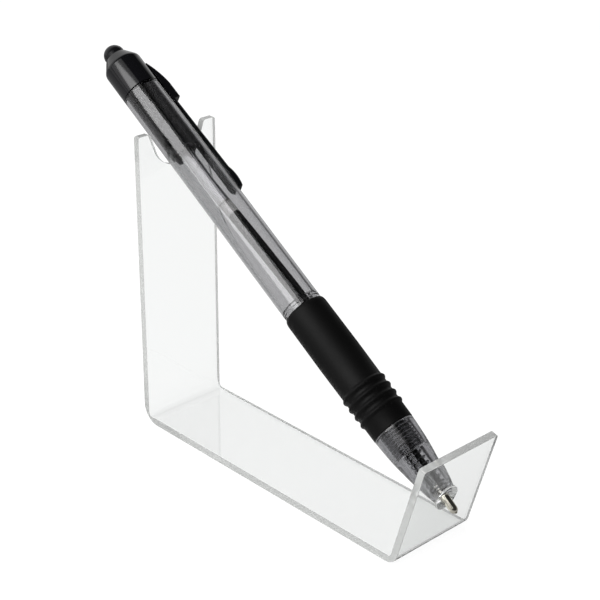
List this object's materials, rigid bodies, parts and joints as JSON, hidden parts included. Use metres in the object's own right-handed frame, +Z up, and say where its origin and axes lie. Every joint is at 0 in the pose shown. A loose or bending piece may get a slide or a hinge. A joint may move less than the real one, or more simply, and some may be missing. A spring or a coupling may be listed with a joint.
{
  "type": "pen stand",
  "caption": "Clear bent acrylic pen stand with a notched back wall and a drilled front lip, carrying a retractable pen with a rubber grip and clip.",
  "frame": {"origin": "middle of the base's underside, on the desk", "axes": "+X towards the front lip, +Y across the stand, +Z up"},
  "size_m": [0.1199, 0.0234, 0.0909],
  "materials": {
    "clear_acrylic": "clear polished acrylic sheet",
    "clear_barrel": "clear moulded plastic",
    "black_rubber": "matte black rubber",
    "black_gloss": "glossy black moulded plastic",
    "inner_plastic": "natural grey plastic",
    "clear_tube": "translucent ink tube",
    "ink": "black ink",
    "grease": "translucent grease",
    "point_metal": "dark nickel brass",
    "ball_steel": "polished steel ball",
    "spring_steel": "bright spring wire"
  },
  "bodies": {
    "stand": {"acrylic_stand": "clear_acrylic"},
    "pen": {"barrel": "clear_barrel", "grip_sleeve": "black_rubber", "nose_cone": "clear_barrel", "top_cap": "black_gloss", "return_spring": "spring_steel"},
    "button": {"push_button": "black_gloss", "thrust_tube": "inner_plastic"},
    "refill": {"refill_tube": "clear_tube", "ink_column": "ink", "ink_follower": "grease", "tip_holder": "black_gloss", "writing_point": "point_metal", "writing_ball": "ball_steel"},
    "rotor": {"cam_rotor": "inner_plastic"},
    "clip": {"clip": "black_gloss"}
  },
  "joints": [
    {"name": "pen_lift_out", "type": "slide", "parent": "stand", "child": "pen", "axis": [-0.7514, 0, 0.6598], "range_m": [0, 0.125]},
    {"name": "button_press", "type": "slide", "parent": "pen", "child": "button", "axis": [-0.8359, 0, 0.5488], "range_m": [-0.0015, 0.005], "stiffness_N_per_m": 100},
    {"name": "refill_slide", "type": "slide", "parent": "pen", "child": "refill", "axis": [-0.8359, 0, 0.5488], "range_m": [-0.0015, 0.005], "deforming": ["return_spring"]},
    {"name": "rotor_turn", "type": "hinge", "parent": "refill", "child": "rotor", "pos_m": [-0.03984, 0, 0.07127], "axis": [-0.8359, 0, 0.5488], "range_deg": [-13.5, 45]},
    {"name": "clip_flex", "type": "hinge", "parent": "pen", "child": "clip", "pos_m": [-0.05786, 0.00428, 0.08364], "axis": [0.5458, -0.1045, 0.8314], "range_deg": [0, 1.3], "stiffness_Nm_per_rad": 0.03, "springref_deg": -2.86}
  ],
  "couplings": [
    {"joint": "refill_slide", "follows": "button_press", "ratio": 1},
    {"joint": "rotor_turn", "follows": "button_press", "rad_per_m": 157.08}
  ]
}
